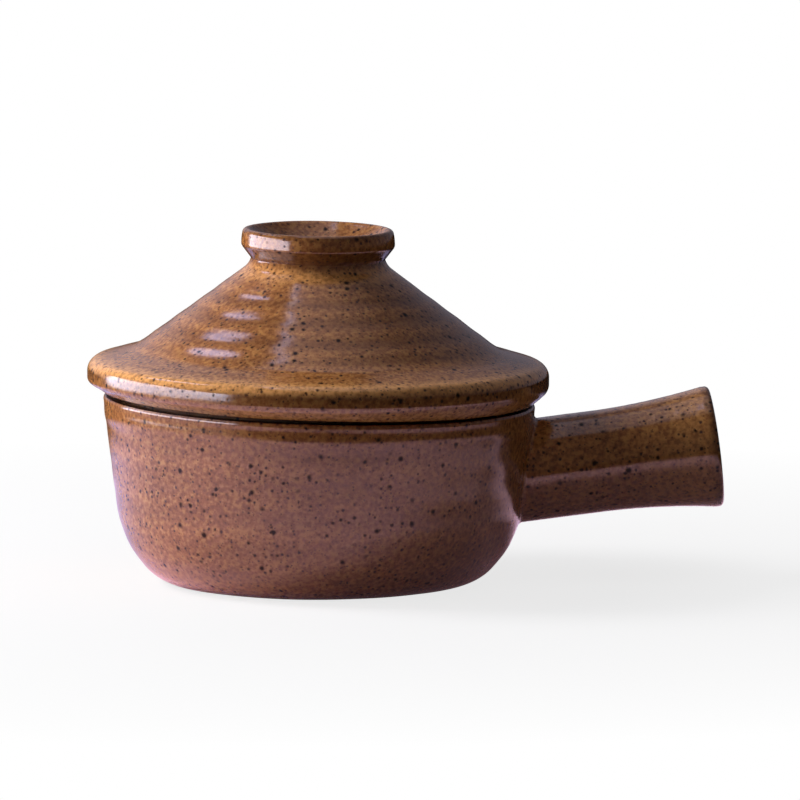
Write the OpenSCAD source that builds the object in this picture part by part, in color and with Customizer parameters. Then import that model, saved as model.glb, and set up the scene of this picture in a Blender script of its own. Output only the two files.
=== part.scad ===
// Wheel-thrown stew pot: a bowl with a hollow side handle, and a knobbed lid that lifts off.
// Millimetres. The origin is the centre of the foot, +Z is up and the handle points along +X.

/* [Bowl] */
// Outside diameter of the rim
rim_d = 168; // [140:1:230]
// Height of the rim above the table
bowl_h = 71; // [60:1:110]
// Lean of the wall, in towards the foot, in degrees
wall_lean = 7.4; // [1:0.1:14]
// Radius of the curve that turns the wall in
belly_r = 42; // [24:0.5:50]
// Radius of the curve that runs under to the foot
foot_turn_r = 20; // [8:0.5:28]
// Slope at which those two curves meet, in degrees
turn_slope = 45; // [35:1:55]
// Thickness of the wall
wall_t = 6; // [4.5:0.1:8]
// Thickness of the floor
floor_t = 6.5; // [5:0.1:10]
// Radius inside, where the wall meets the floor
inner_turn_r = 26; // [10:0.5:32]
// Radius of the rim's two edges
rim_edge_r = 2; // [0.5:0.1:2.5]
// Width of the ring that the bowl stands on
foot_ring_w = 9; // [5:0.5:20]
// Depth of the hollow trimmed inside that ring
foot_hollow = 1.5; // [0.5:0.1:3]

/* [Lid] */
// How far the lid's edge stands out past the rim
lid_over = 6; // [4:0.1:12]
// Radius of the lid's rolled edge
roll_r = 5.5; // [3:0.1:7]
// Height of the middle of the roll above the rim
roll_rise = 10; // [8:0.1:14]
// How far the seat reaches past the flat of the rim
seat_over = 0.3; // [0:0.1:1]
// Width of the flange, from the lid's edge in to the cone
flange_w = 18.3; // [14:0.1:30]
// Slope of the flange's top, in degrees
flange_slope = 16; // [5:0.5:22]
// Radius of the hollow curve between flange and cone
valley_r = 18; // [5:0.5:30]
// Height of the knob's top above the rim
lid_h = 67.2; // [58:0.1:90]
// Thickness of the cone
lid_t = 6; // [4:0.1:8]
// Thickness of the crown under the knob
crown_t = 7; // [4:0.1:10]
// Radius inside, where the cone meets the crown
ceiling_r = 12; // [2:0.5:24]
// Spacing of the throwing rings along the cone
ring_pitch = 11.5; // [6:0.5:24]
// Depth of the throwing rings
ring_depth = 0.5; // [0:0.05:1]

/* [Locating ring] */
// How far the ring drops into the mouth
ring_drop = 7; // [4:0.1:14]
// Thickness of the ring
ring_t = 4; // [3:0.1:6]
// Play between the ring and the mouth
lid_play = 1.2; // [0.5:0.1:3]
// Radius of the ring's lower edges
ring_edge_r = 1.2; // [0.4:0.1:1.4]

/* [Knob] */
// Outside diameter of the knob
knob_d = 60.5; // [46:0.1:76]
// Radius of the knob's upper edge
knob_top_r = 2.8; // [1.5:0.1:4.5]
// Height of the straight band between the knob's edges
knob_band = 2.5; // [0.5:0.1:6]
// Radius of the knob's lower edge
knob_low_r = 2.2; // [1:0.1:4]
// How far the neck is drawn in under that edge
neck_in = 4; // [2:0.1:6]
// Radius of the hollow curve of the neck
neck_r = 4.8; // [3:0.1:7]
// Thickness of clay left under the dished top
knob_floor_t = 5; // [3:0.1:9]

/* [Handle] */
// Length from the wall to the lip
handle_len = 74; // [56:1:130]
// Diameter where it leaves the wall
handle_d = 39.5; // [30:0.1:43]
// Diameter at the lip
handle_lip_d = 47; // [44:0.1:60]
// Length of the flare
flare_len = 45; // [20:1:50]
// Thickness of the tube
handle_t = 5.5; // [4:0.1:8]
// Drop from the rim to the axis, where it leaves the wall
handle_drop = 28.4; // [26:0.1:34]
// Upward tilt of the axis, in degrees
handle_tilt = 7; // [0:0.5:14]
// Width of the clay coil worked into the joint
coil_w = 1.6; // [0.8:0.1:3]

/* [Hidden] */
$fn = 128;
arc_steps = 8;
ring_steps = 8;

// Unit vector at angle a, and the points of an arc round c from angle a0 to a1
function way(a) = [cos(a), sin(a)];
function arc(c, r, a0, a1, n = arc_steps) = [for (i = [0:n]) c + r * way(a0 + (a1 - a0) * i / n)];

// Bowl: centres of the rim's edges, then the wall, belly and foot that hang from them
rim_r = rim_d / 2;
rim_out = [rim_r - rim_edge_r, bowl_h - rim_edge_r];
rim_in = rim_out - [(wall_t - 2 * rim_edge_r) / cos(wall_lean), 0];
wall_top = rim_out + rim_edge_r * way(-wall_lean);
belly_drop = belly_r * (sin(turn_slope) - sin(wall_lean));
foot_drop = foot_turn_r * (1 - sin(turn_slope));
wall_foot_z = belly_drop + foot_drop;
function wall_out(z) = wall_top.x - (wall_top.y - z) * tan(wall_lean);
function wall_in(z) = wall_out(z) - wall_t / cos(wall_lean);
belly_c = [wall_out(wall_foot_z), wall_foot_z] - belly_r * way(-wall_lean);
foot_c = belly_c + (belly_r - foot_turn_r) * way(-turn_slope);
foot_r = foot_c.x;
floor_z = foot_hollow + floor_t;
inner_c_z = floor_z + inner_turn_r;
inner_c = [wall_in(inner_c_z) - inner_turn_r / cos(wall_lean), inner_c_z];

// Outside of the bowl from foot to rim, grown outwards by g
function bowl_outside(g = 0) = concat(
    arc(foot_c, foot_turn_r + g, -90, -turn_slope),
    arc(belly_c, belly_r + g, -turn_slope, -wall_lean),
    arc(rim_out, rim_edge_r + g, -wall_lean, 90)
);
bowl_inside = concat(
    arc(rim_in, rim_edge_r, 90, 180 - wall_lean),
    arc(inner_c, inner_turn_r, -wall_lean, -90),
    [[0, floor_z]]
);
foot_in_r = foot_r - foot_ring_w;
bowl_under = [[0, foot_hollow], [foot_in_r - foot_hollow, foot_hollow], [foot_in_r, 0]];

// Lid: the roll, and the seat's outer end, from which the underside rises to touch the roll
lid_r = rim_r + lid_over;
roll_c = [lid_r - roll_r, bowl_h + roll_rise];
seat_end = [rim_out.x + seat_over, bowl_h];
to_roll = roll_c - seat_end;
under_a = atan2(to_roll.y, to_roll.x) - asin(roll_r / norm(to_roll));
roll_top = roll_c + roll_r * way(90 - flange_slope);

// Knob: centres of its two edges, and a neck whose hollow curve runs on from the lower one
knob_top = [knob_d / 2 - knob_top_r, bowl_h + lid_h - knob_top_r];
knob_low = [knob_d / 2 - knob_low_r, knob_top.y - knob_band];
neck_run = knob_low_r + neck_r - neck_in;
neck_fall = sqrt(pow(knob_low_r + neck_r, 2) - pow(neck_run, 2));
neck_c = knob_low + [neck_run, -neck_fall];
neck_a = atan2(neck_fall, -neck_run);

// Cone: from the flange's inner end up to where it runs on into the neck
valley_x = lid_r - flange_w;
valley = [valley_x, roll_top.y + (roll_top.x - valley_x) * tan(flange_slope)];
to_neck = neck_c - valley;
cone_a = atan2(to_neck.y, to_neck.x) + asin(neck_r / norm(to_neck));
cone_up = way(cone_a - 90);
cone_top = neck_c - neck_r * cone_up;
valley_bend = 180 - cone_a - flange_slope;
valley_run = valley_r * tan(valley_bend / 2);
valley_c = valley + valley_run * way(-flange_slope) + valley_r * way(90 - flange_slope);
cone_foot = valley + valley_run * way(cone_a);

// Throwing rings: grooves that follow each other up the cone, as many as it has room for
cone_len = norm(cone_top - cone_foot);
ring_count = floor(cone_len / ring_pitch);
function groove(s) = ring_depth * (1 - cos(360 * s / ring_pitch)) / 2;
function cone_point(s) = cone_foot + s * way(cone_a) - groove(s) * cone_up;
cone_rings = [for (i = [1:1:ring_count * ring_steps]) cone_point(i * ring_pitch / ring_steps)];

// Inside of the lid, and the ring that drops into the mouth
ring_low_z = bowl_h - ring_drop;
ring_out_r = wall_in(ring_low_z) - lid_play;
ring_in_r = ring_out_r - ring_t;
ceiling_z = cone_top.y - crown_t;
inner_foot = valley - lid_t * cone_up;
function cone_in_z(x) = inner_foot.y + (x - inner_foot.x) * tan(cone_a);
ceiling_x = inner_foot.x + (ceiling_z - inner_foot.y) / tan(cone_a);
ceiling_run = ceiling_r * tan((180 - cone_a) / 2);
ceiling_c = [ceiling_x - ceiling_run, ceiling_z - ceiling_r];

// Dish: a curve centred on the axis that runs on from the knob's upper edge
dish_depth = bowl_h + lid_h - cone_top.y - knob_floor_t;
dish_a = 2 * atan(dish_depth / knob_top.x);
dish_r = knob_top.x / sin(dish_a) - knob_top_r;
dish_c = [0, cone_top.y + knob_floor_t + dish_r];

// Handle: measured along its own axis, with z = 0 where the axis leaves the wall
handle_z = bowl_h - handle_drop;
handle_r = handle_d / 2;
root_depth = handle_d;
lip_r = handle_t / 2;
flare_start = handle_len - lip_r - flare_len;
flare_rise = handle_lip_d / 2 - handle_r;
flare_r = (pow(flare_len, 2) + pow(flare_rise, 2)) / (2 * flare_rise);
flare_c = [handle_r + flare_r, flare_start];
flare_a = 180 - asin(flare_len / flare_r);
lip_c = flare_c + (flare_r + lip_r) * way(flare_a);
handle_outline = concat(
    [[handle_r, -root_depth]],
    arc(flare_c, flare_r, 180, flare_a),
    arc(lip_c, lip_r, flare_a - 180, flare_a),
    arc(flare_c, flare_r + handle_t, flare_a, 180),
    [[handle_r - handle_t, -root_depth]]
);

module bowl_space(g = 0)
    rotate_extrude()
        polygon(concat([[0, -g]], bowl_outside(g), [[0, bowl_h + g]]));

module along_handle()
    translate([wall_out(handle_z), 0, handle_z])
        rotate([0, 90 - handle_tilt, 0])
            children();

module handle_root(r)
    along_handle()
        translate([0, 0, -root_depth])
            cylinder(h = root_depth + flare_start, r = r);

module bowl()
    color("#8a5934")
        rotate_extrude()
            polygon(concat(bowl_under, bowl_outside(), bowl_inside));

module handle()
    color("#7c4f2e")
        difference() {
            along_handle() rotate_extrude() polygon(handle_outline);
            bowl_space();
        }

module joint_coil()
    color("#6d4528")
        difference() {
            intersection() {
                bowl_space(coil_w);
                handle_root(handle_r + coil_w);
            }
            bowl_space();
            handle_root(handle_r);
        }

module lid()
    color("#96613a")
        rotate_extrude()
            polygon(concat(
                [[ring_in_r, bowl_h], seat_end],
                arc(roll_c, roll_r, under_a - 90, 90 - flange_slope),
                arc(valley_c, valley_r, 270 - flange_slope, cone_a + 90),
                cone_rings,
                [cone_top, [0, cone_top.y], [0, ceiling_z]],
                arc(ceiling_c, ceiling_r, 90, cone_a - 90),
                [[ring_in_r, cone_in_z(ring_in_r)]]
            ));

module locating_ring()
    color("#b08d6a")
        rotate_extrude()
            polygon(concat(
                [[ring_in_r, bowl_h]],
                arc([ring_in_r + ring_edge_r, ring_low_z + ring_edge_r], ring_edge_r, 180, 270),
                arc([ring_out_r - ring_edge_r, ring_low_z + ring_edge_r], ring_edge_r, -90, 0),
                [[ring_out_r, bowl_h]]
            ));

module knob()
    color("#8a5934")
        rotate_extrude()
            polygon(concat(
                [[0, cone_top.y]],
                arc(neck_c, neck_r, cone_a + 90, neck_a),
                arc(knob_low, knob_low_r, neck_a - 180, 0),
                arc(knob_top, knob_top_r, 0, 90 + dish_a),
                arc(dish_c, dish_r, dish_a - 90, -90)
            ));

bowl();
handle();
joint_coil();
lid();
locating_ring();
knob();
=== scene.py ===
# Clay stew pot: wheel-thrown stoneware in speckled iron glaze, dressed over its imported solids.
# Outlines are in millimetres as (radius, height), and everything in Blender is in metres.
import math

import bmesh
import bpy
from mathutils import Matrix, Quaternion, Vector


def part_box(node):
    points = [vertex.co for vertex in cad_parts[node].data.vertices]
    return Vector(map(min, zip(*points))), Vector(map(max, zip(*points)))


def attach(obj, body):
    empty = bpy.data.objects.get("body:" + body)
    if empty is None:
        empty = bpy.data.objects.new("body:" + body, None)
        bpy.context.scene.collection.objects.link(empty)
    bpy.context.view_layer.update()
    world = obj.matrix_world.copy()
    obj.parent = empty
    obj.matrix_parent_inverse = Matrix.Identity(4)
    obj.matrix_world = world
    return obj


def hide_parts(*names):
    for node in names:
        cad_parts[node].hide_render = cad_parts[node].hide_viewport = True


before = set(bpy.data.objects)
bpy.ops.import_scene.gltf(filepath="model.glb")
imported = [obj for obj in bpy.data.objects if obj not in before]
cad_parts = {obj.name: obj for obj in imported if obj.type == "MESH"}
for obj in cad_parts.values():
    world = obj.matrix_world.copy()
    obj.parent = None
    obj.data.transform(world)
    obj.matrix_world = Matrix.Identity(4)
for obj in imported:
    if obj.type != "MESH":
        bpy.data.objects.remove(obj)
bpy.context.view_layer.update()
scene = bpy.context.scene
scene.view_settings.view_transform = "Standard"
mm = 0.001


# Small helpers

def toLinear(hexColour, alpha=1.0):
    channels = [int(hexColour[i:i + 2], 16) / 255 for i in (1, 3, 5)]
    linear = [c / 12.92 if c <= 0.04045 else ((c + 0.055) / 1.055) ** 2.4 for c in channels]
    return (*linear, alpha)


def addNode(tree, kind, sockets=None, out=0, **settings):
    node = tree.nodes.new(kind)
    for name, value in settings.items():
        setattr(node, name, value)
    for socket, value in (sockets or {}).items():
        if isinstance(value, bpy.types.NodeSocket):
            tree.links.new(value, node.inputs[socket])
        else:
            node.inputs[socket].default_value = value
    return node.outputs[out] if len(node.outputs) else node


# A Mix node's colours are sockets 6 and 7 and come out of 2, its vectors are 4 and 5 and come out of 1
colourMix = {"data_type": "RGBA", "out": 2}
vectorMix = {"data_type": "VECTOR", "out": 1}


def addObject(name, data):
    added = bpy.data.objects.new(name, data)
    scene.collection.objects.link(added)
    return added


def newMaterial(name):
    material = bpy.data.materials.new(name)
    material.use_nodes = True
    material.node_tree.nodes.clear()
    return material, material.node_tree


def way(degrees):
    return Vector((math.cos(math.radians(degrees)), math.sin(math.radians(degrees))))


def arc(centre, radius, start, end, steps=10):
    return [centre + radius * way(start + (end - start) * i / steps) for i in range(steps + 1)]


def tangentTurn(span, offset):
    # Slope of the line that touches two round corners, from the span between their centres
    return math.degrees(math.atan2(span.y, span.x) - math.asin(offset / span.length))


# Camera, at the photograph's angle: the foot's centre falls on its pixel there

photoView = {
    "azimuth": -4.0,
    "elevation": 7.0,
    "distance": 6000,
    "imageSize": 800,
    "footPixel": (319.5, 581.0),
    "mmPerPixel": 0.3888,
    "sensor": 36,
    "clipEnd": 100,       # in metres
}


def makeCamera(view):
    azimuth, elevation = math.radians(view["azimuth"]), math.radians(view["elevation"])
    right = Vector((math.cos(azimuth), math.sin(azimuth), 0))
    level = Vector((math.sin(azimuth), -math.cos(azimuth), 0))
    back = level * math.cos(elevation) + Vector((0, 0, math.sin(elevation)))
    up = back.cross(right)
    half = view["imageSize"] / 2
    footX, footY = view["footPixel"]
    aim = (right * (half - footX) + up * (footY - half)) * view["mmPerPixel"]
    data = bpy.data.cameras.new("photoCamera")
    data.sensor_width = view["sensor"]
    data.lens = view["sensor"] * view["distance"] / (view["imageSize"] * view["mmPerPixel"])
    data.clip_end = view["clipEnd"]
    camera = scene.camera = addObject("photoCamera", data)
    camera.matrix_world = Matrix((right, up, back)).transposed().to_4x4()
    camera.location = (aim + back * view["distance"]) * mm


makeCamera(photoView)
print("camera set")


# Stage: a pale floor, a white surround, and soft lamps

floorLook = {
    "radius": 12.0,
    "edges": 96,
    "paper": "#F4F3F5",
    "bounce": "#AAA29E",          # what the pot gets back from it
    # Share of plain white that the camera sees, near the pot and away from it
    "lift": {"From Min": 0.12, "From Max": 0.45, "To Min": 0.78, "To Max": 1.0},
    "mirrored": "#F6C4D6",        # the table as the glaze mirrors it
    "mirrorGain": 2.25,
    "mirrorGlow": 0.06,           # share of it that the pot's shadow does not take away
    "dim": "#2A2628",             # painted shade where its light ends: in front, far from the pot, and a painted shadow close to its foot
    "front": {"From Min": -0.3, "From Max": -0.25},
    "reach": {"From Min": 0.28, "From Max": 0.4, "To Min": 1, "To Max": 0},
    "foot": {"From Min": 0.08, "From Max": 0.13, "To Min": 0.78},
    "mirroredBack": "#9A94BA",    # it turns cool behind the pot and on its left
    "behind": {"From Min": -0.005, "From Max": 0.09},
    "backTowards": (-0.5, 0.866, 0),
}
surround = {
    "level": 0.03,
    "tint": "#E4DEF6",
    # What the glaze mirrors of it, from front to back and in the glow there
    "mirrored": {"From Min": -0.3, "From Max": 0.8, "To Min": 0.07, "To Max": 0.22},
    "glow": {"From Min": 0.91, "From Max": 0.995, "To Max": 0.65},
    "glowTowards": (-0.2, 0.91, 0.36),
}
lamps = {       # some only light the pot, others only show in its gloss
    "windowLight": {"at": (-0.6, 0.09, 0.18), "aim": (0, 0.09, 0.18), "size": (0.62, 0.36),
                    "level": 4.0, "tint": "#F4F2FF", "shows": False},
    "softboxLight": {"at": (-0.82, 0.15, 0.72), "aim": (0, 0, 0.1), "size": (0.4, 0.4),
                     "level": 15.0, "shows": False},
    "ceilingLight": {"at": (0.3, -0.35, 1.2), "aim": (0, 0, 0.1), "size": (1.0, 1.0),
                     "level": 0.36, "shows": False},
    "windowShown": {"at": (-0.6, -0.045, 0.155), "aim": (0, -0.045, 0.155), "size": (1.03, 0.31),
                    "level": 6.9, "tint": "#E7E8FF", "lights": False},
    "stripShown": {"at": (-0.53, 0.45, 0.99), "aim": (-0.035, -0.04, 0.105), "size": (0.1, 0.45),
                   "level": 5.0, "tint": "#CFD2FF", "turn": -24, "lights": False},
    "panelShown": {"at": (0.18, 0.2, 1.15), "aim": (0.18, 0.2, 0.1), "size": (0.76, 1.0),
                   "level": 0.5, "tint": "#EEE8FF", "fadeFrom": 0.08, "lights": False},
    "panelEdgeShown": {"at": (-0.19, 0.1, 1.14), "aim": (-0.19, 0.1, 0.1), "size": (0.055, 0.34),
                       "level": 2.3, "tint": "#CCD2FF", "lights": False},
}
wattsPerLevel = 4.0       # watts per square metre for a lamp that shows as white


def makeFloor(look):
    bm = bmesh.new()
    bmesh.ops.create_circle(bm, cap_ends=True, segments=look["edges"], radius=look["radius"])
    mesh = bpy.data.meshes.new("floor")
    bm.to_mesh(mesh)
    bm.free()
    floor = addObject("floor", mesh)
    material, tree = newMaterial("matte white paper sweep")
    mesh.materials.append(material)
    rays = addNode(tree, "ShaderNodeLightPath").node.outputs
    coords = addNode(tree, "ShaderNodeTexCoord", out="Object")
    depth = addNode(tree, "ShaderNodeSeparateXYZ", {0: coords}, out="Y")
    away = addNode(tree, "ShaderNodeVectorMath", {0: coords}, out="Value", operation="LENGTH")
    backward = addNode(tree, "ShaderNodeVectorMath", {0: coords, 1: look["backTowards"]}, out="Value",
                       operation="DOT_PRODUCT")
    lift, front, reach, foot, behind = (
        addNode(tree, "ShaderNodeMapRange", {"Value": value} | look[name]) for name, value in (
            ("lift", away), ("front", depth), ("reach", away), ("foot", away), ("behind", backward)))
    paper, bounce = (addNode(tree, "ShaderNodeBsdfDiffuse", {"Color": toLinear(look[name])})
                     for name in ("paper", "bounce"))
    white = addNode(tree, "ShaderNodeEmission", {"Color": (1, 1, 1, 1), "Strength": 1})
    seen = addNode(tree, "ShaderNodeMixShader", {0: lift, 1: paper, 2: white})
    # The table's painted light: it stops at its front edge and fades away from the pot, and a painted
    # shadow darkens it close to the pot's foot
    lighted = front
    for share in (reach, foot):
        lighted = addNode(tree, "ShaderNodeMath", {0: lighted, 1: share}, operation="MULTIPLY")
    bright, backBright = ([channel * look["mirrorGain"] for channel in toLinear(look[name])]
                          for name in ("mirrored", "mirroredBack"))
    table = addNode(tree, "ShaderNodeMix", {0: behind, 6: bright, 7: backBright}, **colourMix)
    dim = toLinear(look["dim"])
    table = addNode(tree, "ShaderNodeMix", {0: lighted, 6: dim, 7: table}, **colourMix)
    shaded = addNode(tree, "ShaderNodeBsdfDiffuse", {"Color": table})
    unshaded = addNode(tree, "ShaderNodeEmission", {"Color": table, "Strength": look["mirrorGlow"]})
    mirrored = addNode(tree, "ShaderNodeAddShader", {0: shaded, 1: unshaded})
    glossy = addNode(tree, "ShaderNodeMath", {0: rays["Is Glossy Ray"], 1: rays["Is Transmission Ray"]},
                     operation="MAXIMUM")
    lit = addNode(tree, "ShaderNodeMixShader", {0: glossy, 1: bounce, 2: mirrored})
    shown = addNode(tree, "ShaderNodeMixShader", {0: rays["Is Camera Ray"], 1: lit, 2: seen})
    below = addNode(tree, "ShaderNodeNewGeometry", out="Backfacing")
    clear = addNode(tree, "ShaderNodeBsdfTransparent")
    oneSided = addNode(tree, "ShaderNodeMixShader", {0: below, 1: shown, 2: clear})
    addNode(tree, "ShaderNodeOutputMaterial", {"Surface": oneSided})


def makeSurround(look):
    world = scene.world = bpy.data.worlds.new("studio surround")
    world.use_nodes = True
    tree = world.node_tree
    tree.nodes.clear()
    rays = addNode(tree, "ShaderNodeLightPath").node.outputs
    heading = addNode(tree, "ShaderNodeTexCoord", out="Generated")
    axis = Vector(look["glowTowards"]).normalized()
    aligned = addNode(tree, "ShaderNodeVectorMath", {0: heading, 1: axis}, out="Value",
                      operation="DOT_PRODUCT")
    backward = addNode(tree, "ShaderNodeSeparateXYZ", {0: heading}, out="Y")
    base = addNode(tree, "ShaderNodeMapRange", {"Value": backward} | look["mirrored"])
    glow = addNode(tree, "ShaderNodeMapRange", {"Value": aligned, "To Min": base} | look["glow"],
                   interpolation_type="SMOOTHSTEP")
    level = addNode(tree, "ShaderNodeMix", {0: rays["Is Glossy Ray"], 2: look["level"], 3: glow})
    dim = addNode(tree, "ShaderNodeBackground", {"Color": toLinear(look["tint"]), "Strength": level})
    white = addNode(tree, "ShaderNodeBackground", {"Color": (1, 1, 1, 1), "Strength": 1})
    shown = addNode(tree, "ShaderNodeMixShader", {0: rays["Is Camera Ray"], 1: dim, 2: white})
    addNode(tree, "ShaderNodeOutputWorld", {"Surface": shown})


def makeLamp(name, lamp):
    width, height = lamp["size"]
    data = bpy.data.lights.new(name, "AREA")
    data.shape = "RECTANGLE"
    data.size, data.size_y = width, height
    data.color = toLinear(lamp.get("tint", "#FFFFFF"))[:3]
    data.energy = lamp["level"] * wattsPerLevel * width * height
    light = addObject(name, data)
    light.location = lamp["at"]
    turn = Quaternion((0, 0, 1), math.radians(lamp.get("turn", 0)))
    aim = (Vector(lamp["aim"]) - light.location).to_track_quat("-Z", "Y")
    light.rotation_euler = (aim @ turn).to_euler()
    light.visible_camera = False
    light.visible_diffuse = lamp.get("lights", True)
    light.visible_glossy = data.cycles.use_multiple_importance_sampling = lamp.get("shows", True)
    if "fadeFrom" in lamp:
        # It dims to nothing towards its own +X side
        data.use_nodes = True
        tree = data.node_tree
        across = addNode(tree, "ShaderNodeNewGeometry", out="Parametric")
        share = addNode(tree, "ShaderNodeSeparateXYZ", {0: across}, out="X")
        dim = addNode(tree, "ShaderNodeMapRange", {
            "Value": share, "From Min": lamp["fadeFrom"], "To Min": 1, "To Max": 0})
        tree.links.new(dim, tree.nodes["Emission"].inputs["Strength"])


makeFloor(floorLook)
makeSurround(surround)
for lampName, lampLook in lamps.items():
    makeLamp(lampName, lampLook)
print("stage and lamps set")


# Materials

glazeLook = {
    "amber": "#B17440",
    "honey": "#D49A55",
    # honey where the glaze breaks on edges, also painted light on lit edges and on the handle's end
    "edge": "#EDAC68",
    "umber": "#9A6236",
    "pool": "#66391B",
    # rust where the glaze breaks on edges, also painted shade under the knob, in the dish and in the gap
    # under the cover
    "rust": "#3A2010",
    "patchMm": 38,
    "patches": {"From Min": 0.35, "From Max": 0.7},
    "streaks": 1.4,               # finger lines draw the patches out round the pot
    "mottleMm": 1.8,
    "mottleLight": {"From Min": 0.5, "From Max": 0.66, "To Max": 0.46},
    "mottleDark": {"From Min": 0.5, "From Max": 0.33, "To Max": 0.56},
    "honeyGrain": {"From Min": 0.36, "From Max": 0.6, "To Min": 0.45, "To Max": 1},
    "grooveShade": 0.5,           # share of the pooled colour at the bottom of a ring
    "ior": 1.6,
    "roughness": {"To Min": 0.1, "To Max": 0.2},
    "gloss": {"To Min": 0.5, "To Max": 0.06},    # of the glass, and where a speck breaks it
    "peelMm": 1.3,
    "peelDepthMm": 0.014,
    "pitDepth": 0.6,              # a speck sinks by this share of the peel
}
specks = [      # the clay's iron grains: spacing, greatest radius, and how strongly they show
    {"spacingMm": 4.4, "radiusMm": 1.6, "strength": 0.95, "colours": ("#0D0807", "#1A1A22")},
    {"spacingMm": 2.1, "radiusMm": 1.0, "strength": 0.88, "colours": ("#180D09", "#2A2830")},
    {"spacingMm": 1.3, "radiusMm": 0.56, "strength": 0.7, "colours": ("#301B12", "#3E3234")},
]
speckShape = {
    "dents": 2.2,         # dents in a grain's outline, for each spacing
    "dentDepth": 0.22,
    "noGrain": 0.25,      # share of the places that have none
    "core": 0.4,          # share of its radius that shows in full
}
clayLook = {
    "body": "#9A7148",
    "toast": "#7C5230",
    "patchMm": 22,
    "patches": {"From Min": 0.35, "From Max": 0.7},
    "grainMm": 0.7,
    "grainDepthMm": 0.08,
    "roughness": 0.82,
}


def speckMask(tree, coords, layer, shape):
    spacing = layer["spacingMm"] * mm
    shake = addNode(tree, "ShaderNodeTexNoise", {
        "Vector": coords, "Scale": shape["dents"] / spacing, "Detail": 1}, out="Color")
    centred = addNode(tree, "ShaderNodeVectorMath", {0: shake, 1: (0.5, 0.5, 0.5)}, operation="SUBTRACT")
    bent = addNode(tree, "ShaderNodeVectorMath", {
        0: centred, 1: (shape["dentDepth"] * spacing,) * 3, 2: coords}, operation="MULTIPLY_ADD")
    cell = addNode(tree, "ShaderNodeTexVoronoi", {"Vector": bent, "Scale": 1 / spacing}, out="Distance")
    chance = addNode(tree, "ShaderNodeSeparateColor", {0: cell.node.outputs["Color"]}, out="Red")
    size = addNode(tree, "ShaderNodeMapRange", {
        "Value": chance, "From Min": shape["noGrain"], "To Max": layer["radiusMm"] / layer["spacingMm"]})
    core = addNode(tree, "ShaderNodeMath", {0: size, 1: shape["core"]}, operation="MULTIPLY")
    inside = addNode(tree, "ShaderNodeMapRange", {
        "Value": cell, "From Min": size, "From Max": core, "To Max": layer["strength"]})
    return inside, chance.node.outputs["Green"]


def addSpecks(tree, coords, colour):
    masks = []
    for layer in specks:
        mask, tone = speckMask(tree, coords, layer, speckShape)
        dark, slate = (toLinear(c) for c in layer["colours"])
        grain = addNode(tree, "ShaderNodeMix", {0: tone, 6: dark, 7: slate}, **colourMix)
        colour = addNode(tree, "ShaderNodeMix", {0: mask, 6: colour, 7: grain}, **colourMix)
        masks.append(mask)
    return colour, masks


def ironGlaze(look):
    # Iron glaze on thrown stoneware, dipped and fired to a gloss: deep amber glass that darkens where it
    # pools in the rings, breaks to rust where it thins on edges and shows the clay's iron specks.
    # Its rust and honey marks also carry painted shade and painted light.
    material, tree = newMaterial("speckled iron glaze, dipped and fired glossy")
    coords = addNode(tree, "ShaderNodeTexCoord", out="Object")
    streak, groove, honey, thin, bare = (
        addNode(tree, "ShaderNodeAttribute", out="Fac", attribute_name=name)
        for name in ("streak", "groove", "honey", "thin", "bare"))
    patch = addNode(tree, "ShaderNodeTexNoise", {
        "Vector": coords, "Scale": 1 / (look["patchMm"] * mm), "Detail": 4, "Roughness": 0.6})
    mottle, peel = (
        addNode(tree, "ShaderNodeTexNoise", {
            "Vector": coords, "Scale": 1 / (look[size] * mm), "Detail": 2})
        for size in ("mottleMm", "peelMm"))
    tone = addNode(tree, "ShaderNodeMath", {0: streak, 1: look["streaks"], 2: patch},
                   operation="MULTIPLY_ADD")
    patches = addNode(tree, "ShaderNodeMapRange", {"Value": tone} | look["patches"])
    light, dark, grained = (addNode(tree, "ShaderNodeMapRange", {"Value": mottle} | look[name])
                            for name in ("mottleLight", "mottleDark", "honeyGrain"))
    # Honey on edges: partly a glaze break, partly painted light on lit edges and on the handle's end
    honeyEdgeAndLight = addNode(tree, "ShaderNodeMath", {0: honey, 1: grained}, operation="MULTIPLY")
    pooled = addNode(tree, "ShaderNodeMath", {0: groove, 1: look["grooveShade"]}, operation="MULTIPLY")
    colour = toLinear(look["amber"])
    # The rust colour is partly a glaze break and partly painted shade under the knob, in the dish and in
    # the gap under the cover
    for share, name in ((patches, "umber"), (light, "honey"), (dark, "pool"), (honeyEdgeAndLight, "edge"),
                        (pooled, "pool"), (thin, "rust")):
        over = toLinear(look[name])
        colour = addNode(tree, "ShaderNodeMix", {0: share, 6: colour, 7: over}, **colourMix)
    colour, masks = addSpecks(tree, coords, colour)
    body = toLinear(clayLook["body"])
    colour = addNode(tree, "ShaderNodeMix", {0: bare, 6: colour, 7: body}, **colourMix)
    pits = masks[0]
    for mask in masks[1:]:
        pits = addNode(tree, "ShaderNodeMath", {0: pits, 1: mask}, operation="MAXIMUM")
    glazed = addNode(tree, "ShaderNodeMapRange", {"Value": patch} | look["roughness"])
    roughness = addNode(tree, "ShaderNodeMix", {0: bare, 2: glazed, 3: clayLook["roughness"]})
    height = addNode(tree, "ShaderNodeMath", {0: pits, 1: -look["pitDepth"], 2: peel},
                     operation="MULTIPLY_ADD")
    bump = addNode(tree, "ShaderNodeBump", {
        "Height": height, "Strength": 1, "Distance": look["peelDepthMm"] * mm})
    gloss = addNode(tree, "ShaderNodeMapRange", {"Value": pits} | look["gloss"])
    shader = addNode(tree, "ShaderNodeBsdfPrincipled", {
        "Base Color": colour, "Roughness": roughness, "IOR": look["ior"], "Specular IOR Level": gloss,
        "Normal": bump})
    addNode(tree, "ShaderNodeOutputMaterial", {"Surface": shader})
    return material


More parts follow.
